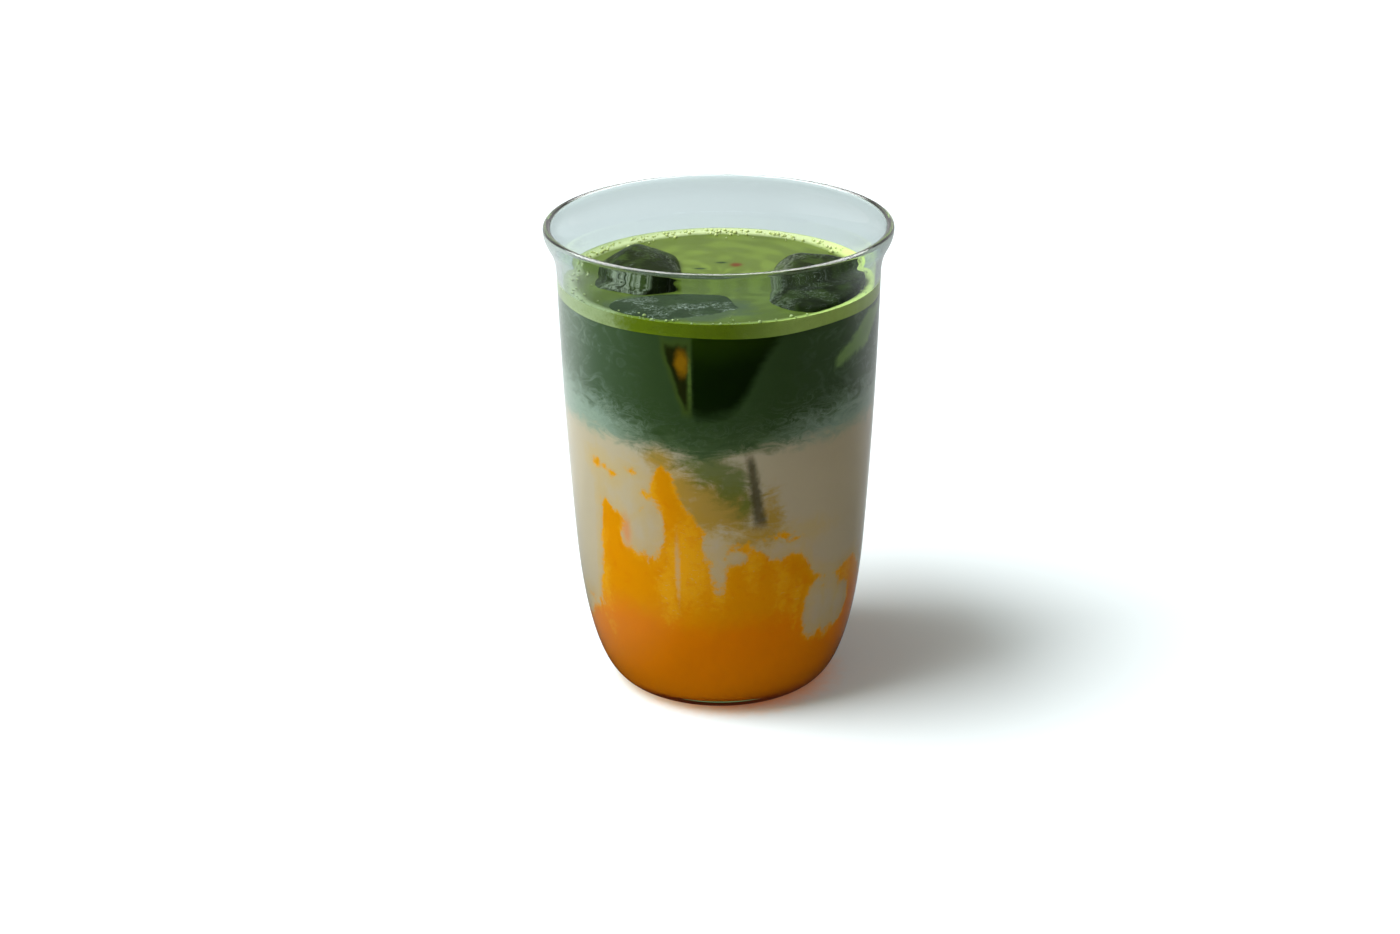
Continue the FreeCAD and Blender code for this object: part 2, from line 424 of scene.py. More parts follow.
def tea_bottom(drink, radius, angle):
    """Height of the border under the tea: three- and five-fold ripples."""
    near = np.minimum(1, radius / TEA_WALL)
    turn = np.radians(angle)
    wave = np.sin(3 * turn + 0.6) + 0.6 * np.sin(5 * turn - 1.1)
    return drink.matcha_floor + TEA_WAVE * wave * near


def side_fields(points):
    """What each point of the drink's side shows, from its angle and height.

    Each field is how far, in mm, a point is inside (+) a patch: the least of its
    distances from the patch's edges. The puree's edge follows MANGO_EDGE, joined with
    the blobs of puree and cut by those of milk. The others are yellow: thinned puree,
    ochre: all three liquids stirred, stir: tea drawn down into the milk, dark: the
    block of sunk ice, amber: the gap beside it, ember: its bright part, trail: the
    streak of foam on the right, smear: the dark streak under the tea, blush and streak:
    the pink edge and the pale line in the puree. rise is the height over the milk's
    top, gleam is 1 on the block's edge, and side and pale go from 0 at the front to 1
    round the glass.
    """
    x, y, z = points.T
    angle = np.degrees(np.arctan2(x, -y))
    knots = np.array(MANGO_EDGE, dtype=float)
    edge = np.interp((angle + 90) % 360 - 90, knots[:, 0], knots[:, 1])
    slope = np.interp((angle + 91) % 360 - 90, knots[:, 0], knots[:, 1]) - edge
    mango = (edge - z) / np.sqrt(1 + (slope / DEGREE) ** 2)
    mango = smooth_max(mango, blobs(angle, z, MANGO_BLOBS), 0.4)
    mango = -smooth_max(-mango, blobs(angle, z, MILK_BLOBS), 0.7)
    yellow = blobs(angle, z, YELLOW_BLOBS)
    ochre = blobs(angle, z, OCHRE_BLOBS)
    stir = blobs(angle, z, TEA_BLOBS)
    dip = 75.4 - 2.6 * np.exp(-((angle + 6) / 17) ** 2)
    rise = z - dip
    dark_edge = np.array(DARK_EDGE)
    right = np.interp(z, dark_edge[-2::-1, 1], dark_edge[-2::-1, 0])
    floor = np.interp(angle, dark_edge[::-1, 0], dark_edge[::-1, 1])
    dark = np.minimum(np.minimum((right - angle) * 0.5, (z - floor) * 0.3),
                      (angle + 11.0) * DEGREE)
    down = np.clip((103.5 - z) / 16.0, 0, 1)
    amber = np.minimum((-11.0 - angle) * DEGREE,
                       (angle + 20.6 - 7.4 * down**1.3) * DEGREE)
    amber = np.minimum(amber, np.minimum((z - 87.0) * 0.5, (105.5 - z) * 0.5))
    ember = blob(angle, z, EMBER)
    line = 96.5 + 0.42 * (angle - 46)
    trail = np.minimum(line + 1.0 - z, z - (94.5 + 0.12 * (angle - 46)))
    trail = np.minimum(trail, (angle - 45.5) * 0.5)
    trail = trail - 0.4 * np.maximum(0, angle - 66)
    lean = 15.0 - 4.0 * (z - 55.0) / 19.0
    smear = 1.35 + 0.04 * (74 - z) - np.abs(angle - lean) * DEGREE
    smear = np.minimum(smear, np.minimum(z - 55.0, 76.0 - z) * 0.4)
    gleam = 1.0 - np.hypot((angle + 10.9) * DEGREE / 0.6, (z - 96.0) / 9.5)
    side = smooth_step(14.0, 48.0, np.abs(angle + 4.0))
    pale = smooth_step(22.0, 78.0, -angle) + smooth_step(20.0, 80.0, angle) * (
        0.75 + 0.25 * smooth_step(110.0, 170.0, angle))
    blush = blob(angle, z, BLUSH)
    streak = blob(angle, z, PALE_LINE)
    return {"mango": mango, "yellow": yellow, "ochre": ochre, "stir": stir,
            "rise": rise, "dark": dark, "amber": amber, "ember": ember, "trail": trail,
            "smear": smear, "gleam": gleam, "side": side, "pale": pale,
            "blush": blush, "streak": streak}


# --- shader nodes ------------------------------------------------------------
class Value:
    """A node's output that adds, multiplies and is raised to a power like a number."""

    def __init__(self, graph, socket):
        self.graph, self.socket = graph, socket

    def __add__(self, other):
        return self.graph.sum("ADD", self, other)

    def __sub__(self, other):
        return self.graph.sum("SUBTRACT", self, other)

    def __rsub__(self, other):
        return self.graph.sum("SUBTRACT", other, self)

    def __mul__(self, other):
        return self.graph.sum("MULTIPLY", self, other)

    def __pow__(self, other):
        return self.graph.sum("POWER", self, other)

    def __abs__(self):
        return self.graph.node("ShaderNodeMath", {"operation": "ABSOLUTE"}, {0: self})

    __radd__ = __add__
    __rmul__ = __mul__

    def step(self, low, high):
        """0 below low, 1 above high, smooth between."""
        return self.graph.node("ShaderNodeMapRange", {"interpolation_type": "SMOOTHSTEP"},
                               {"Value": self, "From Min": low, "From Max": high})


class Graph:
    """Nodes of one material or world."""

    def __init__(self, owner):
        owner.use_nodes = True
        self.tree = owner.node_tree
        self.tree.nodes.clear()

    def node(self, kind, settings=None, values=None, out=0):
        """Adds a node of a type, sets its settings, then its sockets' values or links."""
        node = self.tree.nodes.new(kind)
        for name, setting in (settings or {}).items():
            setattr(node, name, setting)
        for name, value in (values or {}).items():
            socket = node.inputs[name]
            if isinstance(value, Value):
                self.tree.links.new(value.socket, socket)
            else:
                socket.default_value = value
        return Value(self, node.outputs[out])

    def sum(self, operation, a, b):
        """Any piece of arithmetic on two numbers."""
        return self.node("ShaderNodeMath", {"operation": operation}, {0: a, 1: b})

    def least(self, a, b):
        return self.sum("MINIMUM", a, b)

    def most(self, a, b):
        return self.sum("MAXIMUM", a, b)

    def mix(self, share, a, b):
        """Colour a where share is 0 and b where it is 1."""
        a, b = (tuple(c) + (1,) if not isinstance(c, Value) and len(c) == 3 else c
                for c in (a, b))
        return self.node("ShaderNodeMix", {"data_type": "RGBA"}, {0: share, 6: a, 7: b},
                         out=2)

    def field(self, name):
        """One of the numbers kept on the mesh."""
        return self.node("ShaderNodeAttribute", {"attribute_name": name}, out=2)

    def place(self, stretch=(1, 1, 1)):
        """Object coordinates, stretched."""
        where = self.node("ShaderNodeTexCoord", out=3)
        return self.node("ShaderNodeMapping", values={"Vector": where, "Scale": stretch})

    def noise(self, size, detail=4, rough=0.55, bend=0.0, stretch=(1, 1, 1)):
        """Noise from 0 to 1 whose largest features are about size mm."""
        return self.node("ShaderNodeTexNoise", None, {
            "Vector": self.place(stretch), "Scale": 1 / (size * MM), "Detail": detail,
            "Roughness": rough, "Distortion": bend})

    def cells(self, size):
        """Distance from the middle of random cells about size mm wide."""
        return self.node("ShaderNodeTexVoronoi", None, {
            "Vector": self.place(), "Scale": 1 / (size * MM)})

    def path(self):
        """How a ray got here: from the eye, through glass, off a mirror, off matt."""
        eye, through, mirror, soft = (
            self.node("ShaderNodeLightPath", out=name) for name in
            ("Is Camera Ray", "Is Transmission Ray", "Glossy Depth", "Diffuse Depth"))
        return eye, through, self.least(mirror, 1.0), self.least(soft, 1.0)

    def bump(self, height, depth, strength):
        """Normal of a surface that height, from 0 to 1, lifts by up to depth mm."""
        return self.node("ShaderNodeBump", None, {
            "Height": height, "Distance": depth * MM, "Strength": strength})

    def principled(self, values):
        """Ends a material in one shader with these sockets."""
        self.finish(self.node("ShaderNodeBsdfPrincipled", None, values))

    def finish(self, shader, target="ShaderNodeOutputMaterial"):
        """Links a shader to the material's or the world's output."""
        out = self.tree.nodes.new(target)
        self.tree.links.new(shader.socket, out.inputs["Surface"])


def new_material(name, plain):
    """An empty material and its graph, with a plain colour for solid view."""
    material = bpy.data.materials.new(name)
    material.diffuse_color = tuple(plain)[:3] + (1,)
    return material, Graph(material)


def shaded(base, by):
    """A colour multiplied by one number, or by one each for red, green and blue."""
    return tuple(c * k for c, k in zip(base, np.broadcast_to(by, 3).tolist()))


# Linear colours of the small things that show in and on the drink.
SMALL_COLOURS = {
    "drawn": (0.13, 0.165, 0.03),            # tea drawn down into the milk
    "blush": (0.80, 0.33, 0.13),             # the puree's pink edge
    "smear": (0.075, 0.060, 0.030),          # the streak under the tea
    "near_cloud": (0.095, 0.145, 0.065),     # milk in the deep tea at the front
    "wisp": (0.42, 0.52, 0.44),              # threads of milk in the tea
    "block_top": (0.022, 0.048, 0.001),      # upper part of the sunk ice
    "gap_edge": (0.065, 0.105, 0.020),       # the gap beside the sunk ice
    "gap": (0.016, 0.020, 0.003),
    "ember": (0.34, 0.165, 0.005),
    "gleam": (0.15, 0.24, 0.05),             # the sunk ice's edge
    "trail": (0.30, 0.46, 0.18),             # foam drawn down on the right
    "lit_froth": (0.50, 0.66, 0.20),         # the foam's band with light behind it
    "over_ice": (0.055, 0.085, 0.038),       # film over the sunk ice
    "spot": (0.012, 0.03, 0.006),            # dark spots on the film
    "bean": (0.085, 0.022, 0.003),           # the red-brown one
    "frost": (0.22, 0.27, 0.19),             # painted reflection of the lamp on the ice's melted flats
    "wet_ice": (0.050, 0.078, 0.042),
    "ripple": (0.40, 0.48, 0.40),            # painted glints along lines of water on the ice
}


def glass_material(size):
    """Clear glass with a faint tint; lamps shine straight through it."""
    material, g = new_material("clear_glass", size.tint)
    body = g.node("ShaderNodeBsdfPrincipled", None, {
        "Base Color": tuple(size.tint) + (1,), "Roughness": 0.0, "IOR": 1.47,
        "Transmission Weight": 1.0})
    clear = g.node("ShaderNodeBsdfTransparent", None, {
        "Color": tuple(c**0.5 for c in size.tint) + (1,)})
    shadow = g.node("ShaderNodeLightPath", out=1)
    g.finish(g.node("ShaderNodeMixShader", None, {0: shadow, 1: body, 2: clear}))
    inside = g.node("ShaderNodeVolumeAbsorption", None, {
        "Color": (0.68, 0.78, 0.56, 1), "Density": size.depth_of_tint})
    g.tree.links.new(inside.socket, g.tree.nodes["Material Output"].inputs["Volume"])
    return material


def drink_material(name, colours, plain):
    """The drink against the glass: three liquids that cloud, stir and streak.

    Each border is a field in mm plus noise, cut by a soft step, so it breaks into
    curls and wisps. The puree comes first, then the milk, then the tea and what is
    sunk in it, and the height over the milk's top chooses between them.
    """
    material, g = new_material(name, plain)
    small = SMALL_COLOURS
    curl = g.noise(5.0, 6, 0.62, 0.9) - 0.5
    grain = g.noise(1.1, 3, 0.6) - 0.5
    mango = g.field("mango") + curl * 3.6 + grain * 2.2
    in_mango = mango.step(-0.6, 0.8)
    drift = g.noise(9.0, 7, 0.64, 1.4, (1, 1, 2.6)) - 0.5
    height = g.field("rise")
    upper = (height + curl * 8).step(-50.0, -41.0)
    puree = g.mix(upper, colours.mango, shaded(colours.mango, (0.975, 1.28, 1.0)))
    thin = (g.field("yellow") + curl * 8 + grain * 5).step(-1.6, 2.4)
    rim = 1 - mango.step(0.0, 1.8)
    puree = g.mix(g.most(thin * 0.9, rim * 0.7), puree, colours.mango_yellow)
    ripe = g.noise(3.2, 4, 0.6, 0.6).step(0.50, 0.72) * upper
    puree = g.mix(ripe * 0.35, puree, shaded(colours.mango, (0.93, 0.86, 1.0)))
    specks = g.noise(1.3, 4, 0.65, 0.6, (1, 1, 2.2)).step(0.58, 0.70) * thin
    line = (g.field("streak") + grain * 0.9).step(-0.2, 0.8)
    puree = g.mix(g.most(specks * 0.30, line * 0.5), puree, colours.milk)

    warm = (mango + curl * 4).step(-5.0, -0.3)
    milk = g.mix(warm * 0.7, colours.milk, shaded(colours.milk, (1.06, 0.95, 0.66)))
    stirred = (g.field("ochre") + drift * 10 + grain * 3).step(-2.4, 2.6)
    milk = g.mix(stirred * 0.88, milk, colours.ochre)
    drawn = (g.field("stir") + drift * 9 + grain * 3).step(-2.2, 3.2)
    milk = g.mix(drawn * 0.85, milk, small["drawn"])
    lower = g.mix(in_mango, milk, puree)
    blush = (g.field("blush") + curl * 1.6).step(-0.8, 1.6)
    lower = g.mix(blush * 0.8, lower, small["blush"])
    smear = (g.field("smear") + curl * 1.8 + grain * 0.8).step(-0.5, 1.3)
    lower = g.mix(smear * 0.85, lower, small["smear"])

    haze = height + drift * 10 + grain * 1.4
    share = haze.step(-1.0, 4.5)
    pale = g.field("pale")
    cloud = g.mix(g.field("side"), small["near_cloud"], colours.cloud)
    tea = g.mix(pale * 0.34, colours.tea, colours.cloud)
    billow = g.noise(7.5, 7, 0.62, 2.4, (1, 1, 1.7)) - 0.5
    veil = (haze + billow * 13 - pale * 6).step(0.5, 11.0)
    tea = g.mix(veil, cloud, tea)
    wisp = 1 - abs(drift).step(0.0, 0.035)
    wisp = wisp * (1 - haze.step(6.0, 18.0)) * (g.field("side") * 0.5 + 0.12)
    tea = g.mix(wisp * 0.5, tea, small["wisp"])
    puff = g.noise(6.5, 7, 0.62, 2.0, (1, 1, 1.5)).step(0.47, 0.72)
    tea = g.mix(puff * pale * 0.7, tea, colours.cloud)
    dark = (g.field("dark") + drift * 1.4).step(-0.6, 1.3)
    lit = height.step(24.0, 34.0) * 0.7
    tea = g.mix(dark * height.step(7.0, 12.0), tea,
                g.mix(lit, colours.tea_deep, small["block_top"]))
    edge = g.field("amber") + curl * 1.3
    tea = g.mix(edge.step(-1.1, 0.3) * 0.9, tea, small["gap_edge"])
    tea = g.mix(edge.step(0.0, 1.2), tea, small["gap"])
    glow = (g.field("ember") + curl * 1.6 + grain * 0.6).step(-0.3, 1.4)
    tea = g.mix(glow, tea, small["ember"])
    gleam = (g.field("gleam") + grain * 0.9).step(0.0, 0.8)
    tea = g.mix(gleam * 0.55, tea, small["gleam"])
    trail = (g.field("trail") + curl * 3.0 + grain).step(-0.7, 1.5)
    tea = g.mix(trail * 0.85, tea, small["trail"])
    colour = g.mix(share, lower, tea)
    g.principled({"Base Color": colour, "Roughness": 0.6, "Specular IOR Level": 0.0})
    return material


def foam_material(colours):
    """Fine foam: a thick band at the wall, a thin streaky film between the ice.

    The band is pale at the back and on the right, where light comes through it. The
    film is dark over the sunk ice and has its dark and red-brown spots.
    """
    material, g = new_material("foam", colours.foam)
    ring = g.field("ring")
    streak = g.field("streak")
    patch = g.noise(6.0, 5, 0.6, 0.8)
    fine = g.noise(0.8, 3, 0.6)
    film = g.mix(streak * 0.75 + patch * 0.4, shaded(colours.film, 0.78),
                 shaded(colours.film, 1.2))
    pale = tuple(c + k for c, k in zip(colours.foam, (0.25, 0.27, 0.25)))
    share = (patch * 0.5 + fine * 0.25 + g.field("back") * 0.6).step(0.42, 0.95)
    froth = g.mix(share, colours.foam, pale)
    froth = g.mix(g.field("right") * (patch * 0.6 + 0.6), froth,
                  SMALL_COLOURS["lit_froth"])
    colour = g.mix(ring, film, froth)
    sunk = (g.field("sunk") + (patch - 0.5) * 0.9).step(-0.18, 0.18) * (1 - ring)
    colour = g.mix(sunk * 0.88, colour, SMALL_COLOURS["over_ice"])
    for name in ("spot", "bean"):
        colour = g.mix(g.field(name).step(0.1, 0.9), colour, SMALL_COLOURS[name])
    holes = g.cells(0.9).step(0.0, 0.35)
    small = g.cells(0.45).step(0.0, 0.4)
    rough = g.node("ShaderNodeMapRange", None, {
        "Value": ring, "To Min": 0.25, "To Max": 0.5})
    lift = (holes * 0.6 + small * 0.4) * (ring * 0.9 + 0.1) + fine * 0.25
    g.principled({"Base Color": colour, "Roughness": rough, "IOR": 1.33,
                  "Specular IOR Level": 0.05, "Normal": g.bump(lift, 0.25, 0.6)})
    return material


def ice_material(name, colours, wet):
    """Wet ice with the tea showing through: nearly black green and glossy.

    The flats bear a pale, scratchy painted reflection of the lamp. The wetter a piece,
    the more of the tea's film and of pale lines, painted glints on its water, where
    noise crosses 0.5, it shows.
    """
    material, g = new_material(name, colours.ice)
    body = g.noise(7.0, 4, 0.6, 0.8)
    wave = g.noise(2.6, 3, 0.5, 1.6, (1, 1.9, 1))
    deep = g.mix(body.step(0.40, 0.66), colours.ice, shaded(colours.ice, 3.2))
    line = (1 - abs(wave - 0.5).step(0.0, 0.03)) * g.noise(9.0, 2).step(0.46, 0.58)
    scratch = g.noise(1.7, 5, 0.7, 1.5).step(0.42, 0.62)
    # painted reflection of the lamp on the pale flats, broken by scratches
    deep = g.mix(g.field("frost") * scratch * 0.8, deep, SMALL_COLOURS["frost"])
    deep = g.mix(max(0.0, wet - 0.4), deep, SMALL_COLOURS["wet_ice"])
    # pale lines where the ice is wet: painted glints
    colour = g.mix(line * wet, deep, SMALL_COLOURS["ripple"])
    lift = wave * 0.7 + g.noise(0.9, 3, 0.5) * 0.12
    g.principled({"Base Color": colour, "Roughness": 0.06, "IOR": 1.31,
                  "Specular IOR Level": 0.008, "Normal": g.bump(lift, 0.8, 0.5)})
    return material


def bubble_material():
    """Thin wet bubbles that catch the light."""
    material, g = new_material("bubbles", (0.6, 0.7, 0.4))
    colour = g.mix(g.noise(2.0, 2), (0.28, 0.38, 0.08), (0.50, 0.58, 0.30))
    g.principled({"Base Color": colour, "Roughness": 0.12, "IOR": 1.33})
    return material


# --- pieces ------------------------------------------------------------------
GLASS_TURNS = 256     # points round the glass
DRINK_TURNS = 480     # and round the drink and its foam
CURVE_ROWS = 26       # points along each curve of the glass's profile
FOOT_HOLLOW = 0.3     # mm by which the foot's middle stands off the floor
UNDERLAP = 0.6        # mm by which a layer starts under the one below
SEAM = 0.02           # mm by which it reaches further into the wall


def settings():
    """The four groups of settings kept on the scene."""
    scene = bpy.context.scene
    return scene.latte_glass, scene.latte_drink, scene.latte_colours, scene.latte_stage


def stand_for(piece, material, slot, *nodes):
    """Gives a piece its material, hangs it on the root and hides the solids it stands for.
    The slot is not used.
    """
    piece.data.materials.append(material)
    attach(piece, "root")
    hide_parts(*nodes)


class LATTE_OT_glass(bpy.types.Operator):
    """Blow the tumbler: one closed shell with a rolled lip"""

    bl_idname = "latte.glass"
    bl_label = "Glass"

    def execute(self, context):
        # inner floor, inner wall, half round of the lip, outer wall, hollowed foot
        size = settings()[0]
        outer = profile(size, 0, 0, 0, CURVE_ROWS)
        inner = profile(size, size.wall, size.lip_thickness, size.floor, CURVE_ROWS)
        half = size.lip_thickness / 2
        middle = np.array([size.lip_radius - half, GLASS_HEIGHT / MM - half])
        turn = np.linspace(0, np.pi, 15)[1:-1]
        roll = middle + half * np.stack([-np.cos(turn), np.sin(turn)], axis=1)
        base = np.linspace(0, 1, 5)[:-1, None]
        path = np.concatenate([
            (0, size.floor) + base * (inner[0] - (0, size.floor)), inner, roll,
            outer[::-1],
            (base * outer[0])[::-1] + (0, FOOT_HOLLOW) * (1 - base[::-1])])
        turns = np.linspace(0, 2 * np.pi, GLASS_TURNS, endpoint=False)
        radius, height = (np.tile(column, (GLASS_TURNS, 1)) for column in path.T)
        points, faces = lathe(radius, height, turns)
        piece = make_mesh("tumbler", points, faces)
        piece.data.flip_normals()
        stand_for(piece, glass_material(size), "glass", "glass")
        return {"FINISHED"}


class LATTE_OT_layers(bpy.types.Operator):
    """Pour the mango puree, the milk and the tea"""

    bl_idname = "latte.layers"
    bl_label = "Drink layers"

    def execute(self, context):
        size, drink, colours, _ = settings()
        top = GLASS_HEIGHT / MM - drink.level_depth
        floor = size.floor - drink.wetting
        turns = np.linspace(0, 2 * np.pi, DRINK_TURNS, endpoint=False)
        angle = np.degrees(turns)[:, None]

        def surface(height_of, radius_at):
            """Radius and height of a border's rows, from the axis to the wall.

            Where it meets the wall is found by turns: height at a radius, radius there.
            """
            wall_z = height_of(np.full((DRINK_TURNS, 1), TEA_WALL), angle)
            for _ in range(4):
                wall_z = height_of(radius_at(wall_z), angle)
            r = np.linspace(0, 1, 12)[None, :] * radius_at(wall_z)
            z = height_of(r, angle + 0 * r)
            z[:, 0] = z[:, 0].mean()
            return r, z

        def layer(name, below, above, rows, crowd, seams, slot, node, plain):
            """Closed skin: lower border outwards, up the wall, upper border inwards.

            The rows on the wall lie at shares t^crowd of the way up.
            """
            radius_at = drink_radius(size, drink.wetting - seams * SEAM)
            low_r, low_z = surface(below, radius_at)
            high_r, high_z = (grid[:, ::-1] for grid in surface(above, radius_at))
            t = np.linspace(0, 1, rows)[None, 1:-1] ** crowd
            z = low_z[:, -1:] + (high_z[:, :1] - low_z[:, -1:]) * t
            radius = np.concatenate([low_r, radius_at(z), high_r], axis=1)
            height = np.concatenate([low_z, z, high_z], axis=1)
            points, faces = lathe(radius, height, turns)
            piece = make_mesh(name, points, faces, **side_fields(points))
            stand_for(piece, drink_material(name, colours, plain), slot, node)

        def bottom(r, a):
            return floor + 0 * (r + a)

        def middle(r, a):
            return mango_top(drink, r, a)

        def border(r, a):
            return tea_bottom(drink, r, a)

        def under_foam(r, a):
            return top - drink.foam_film + 0 * (r + a)

        # each layer starts a little under the one below, and reaches a hair further
        # into the wall, so no seam shows
        layer("mango_layer", bottom, middle, 120, 1.6, 3, "mango", "mango_puree",
              colours.mango)
        layer("milk_layer", lambda r, a: middle(r, a) - UNDERLAP, border, 84, 1, 2,
              "milk", "milk", colours.milk)
        layer("tea_layer", lambda r, a: border(r, a) - UNDERLAP, under_foam, 76, 1, 1,
              "matcha", "matcha", colours.tea)
        return {"FINISHED"}


def bell(x, y, at, wide, deep):
    """1 at a point, falling off as exp(-2 r^2), r in widths across and depths back."""
    return np.exp(-(((x - at[0]) / wide) ** 2 + ((y - at[1]) / deep) ** 2) * 2)


def foam_fields(radius, height, turns, edge, wide, top):
    """What each point of the foam shows, from 0 off a patch to 1 on it.

    ring: the thick band within wide mm of the wall, streak: noise drawn out along the
    radius, spot and bean: bells at the dark spots and the red-brown one, sunk: above 0
    inside an ellipse over the sunk ice, back and right: where the band lets light
    through.
    """
    ring = 1 - smooth_step(0.55 * wide, 1.25 * wide, edge - radius)
    swirl = np.stack([radius * 0.55, np.sin(turns) * 9 + 0 * radius,
                      np.cos(turns) * 9 + 0 * radius], axis=2)
    streak = smooth_step(-0.4, 0.9, ripple(swirl, 3.2, 9))
    x, y = radius * np.sin(turns), -radius * np.cos(turns)
    spot = np.maximum(bell(x, y, (0.8, 11.2), 2.6, 1.3), bell(x, y, (-4.7, 6.4), 2.6, 1.1))
    bean = bell(x, y, (4.6, 9.2), 2.5, 2.6)
    sunk = 1 - np.hypot((x + 9.0) / 17.5, (y + 23.0 + 0.12 * x) / 12.5)
    aside = angle_from(np.degrees(turns), 0) + 0 * x
    back = smooth_step(-12.0, 26.0, y) * smooth_step(-0.6, 0.0, height - top)
    back = np.maximum(back, 0.8 * smooth_step(26.0, 50.0, -aside))
    right = smooth_step(0.0, 36.0, aside) * (1 - smooth_step(100.0, 150.0, aside))
    return {"ring": ring, "streak": streak, "spot": spot, "bean": bean, "sunk": sunk,
            "back": back, "right": right}


class LATTE_OT_foam(bpy.types.Operator):
    """Lay the foam: a band along the glass and a film over the tea"""

    bl_idname = "latte.foam"
    bl_label = "Foam"

    def execute(self, context):
        size, drink, colours, _ = settings()
        radius_at = drink_radius(size, drink.wetting)
        top = GLASS_HEIGHT / MM - drink.level_depth
        turns = np.linspace(0, 2 * np.pi, DRINK_TURNS, endpoint=False)[:, None]
        # underside outwards, down into the band, then up the wall and over the top,
        # which swells and creeps up exponentially near the wall
        around = np.concatenate([np.cos(turns), np.sin(turns)], axis=1)
        band = drink.foam_band + 0.35 * ripple(around, 0.9, 3)[:, None]
        wide = drink.foam_ring + 0.9 * ripple(around, 1.1, 4)[:, None]
        edge = radius_at(top)
        inwards = np.linspace(1, 0, 66)[None, :]
        r_top = edge * inwards
        from_wall = edge - r_top
        swell = np.exp(-((from_wall / (0.62 * wide)) ** 2))
        creep = np.exp(-from_wall / 0.7)
        flat = np.stack([r_top * np.sin(turns), -r_top * np.cos(turns)], axis=2)
        waves = ripple(flat, 7.0, 5) * 0.05 + ripple(flat, 2.2, 6) * 0.03
        z_top = top + 0.25 * swell + (drink.meniscus - 0.25) * creep
        z_top = z_top + waves * (1 - creep) * np.minimum(1, r_top / 4)
        outwards = np.linspace(0, 1, 10)[None, :]
        r_low = edge * outwards + 0 * turns
        z_low = top - drink.foam_film - (band - drink.foam_film) * smooth_step(
            edge - wide, edge, r_low)
        t = np.linspace(0, 1, 9)[None, 1:-1]
        z_wall = z_low[:, -1:] + (z_top[:, :1] - z_low[:, -1:]) * t
        radius = np.concatenate([r_low, radius_at(z_wall), r_top + 0 * turns], axis=1)
        height = np.concatenate([z_low, z_wall, z_top], axis=1)
        points, faces = lathe(radius, height, turns[:, 0])
        fields = foam_fields(radius, height, turns, edge, wide, top)
        piece = make_mesh("foam_skin", points, faces,
                          **{name: on_lathe(field) for name, field in fields.items()})
        stand_for(piece, foam_material(colours), "foam", "foam")
        return {"FINISHED"}


# name, angle round the glass, distance from the axis, edges, spin, lean, angle it
# leans towards, angles between which it keeps, flats melted into its top (the angle a
# flat faces, its slope, its distance from the centre and how pale the painted reflection
# of the lamp on it is), how far thin water, with painted glints along it, shows on its top
ICE = (
    ("ice_left", -88, 19.5, (24, 33, 24), 6, 13, -50, (-178, -57),
     ((95, 20, 12.9, 0), (-95, 33, 13.4, 0), (-27, 43, 12.2, 1), (40, 50, 14.6, 0),
      (-62, 56, 14.4, 0.6), (10, 24, 12.9, 0), (150, 40, 18.0, 0)), 0.3),
    ("ice_front", -24, 24.5, (35, 27, 23), -6, 2.5, 30, (-57, 18), (), 1.0),
    ("ice_right", 62, 26.5, (25, 38, 26), -6, 9, 25, (18, 160),
     ((49, 13.5, 14.0, 0), (-94, 60, 14.6, 0.8), (-94, 36, 15.4, 0.5),
      (-60, 48, 16.4, 0.3), (125, 30, 20.0, 0), (-20, 55, 19.0, 0)), 0.25),
)
ICE_MELT = 0.15       # corner radius, as a share of the smallest edge
ICE_GAP = 3.0         # mm between neighbours
ICE_WALL_GAP = 2.4    # mm to the glass
ICE_TURNS = 200
ICE_ROWS = 119
SHARP = 26            # the power at which faces cross; more is crisper


def turned(lean, lean_towards, spin):
    """Matrix that spins a block about Z, then leans it towards an angle."""
    tip = np.radians(lean_towards)
    axis = np.array([math.cos(tip), math.sin(tip), 0])
    c, s = math.cos(math.radians(lean)), math.sin(math.radians(lean))
    cross = np.array([[0, 0, axis[1]], [0, 0, -axis[0]], [-axis[1], axis[0], 0]])
    tilt = c * np.eye(3) + s * cross + (1 - c) * np.outer(axis, axis)
    c, s = math.cos(math.radians(spin)), math.sin(math.radians(spin))
    return tilt @ np.array([[c, -s, 0], [s, c, 0], [0, 0, 1]])


def slanted(facing, slope):
    """Unit normal that leans from upright, by a slope, towards an angle."""
    a, b = math.radians(facing), math.radians(slope)
    return np.array([math.sin(b) * math.sin(a), -math.sin(b) * math.cos(a), math.cos(b)])


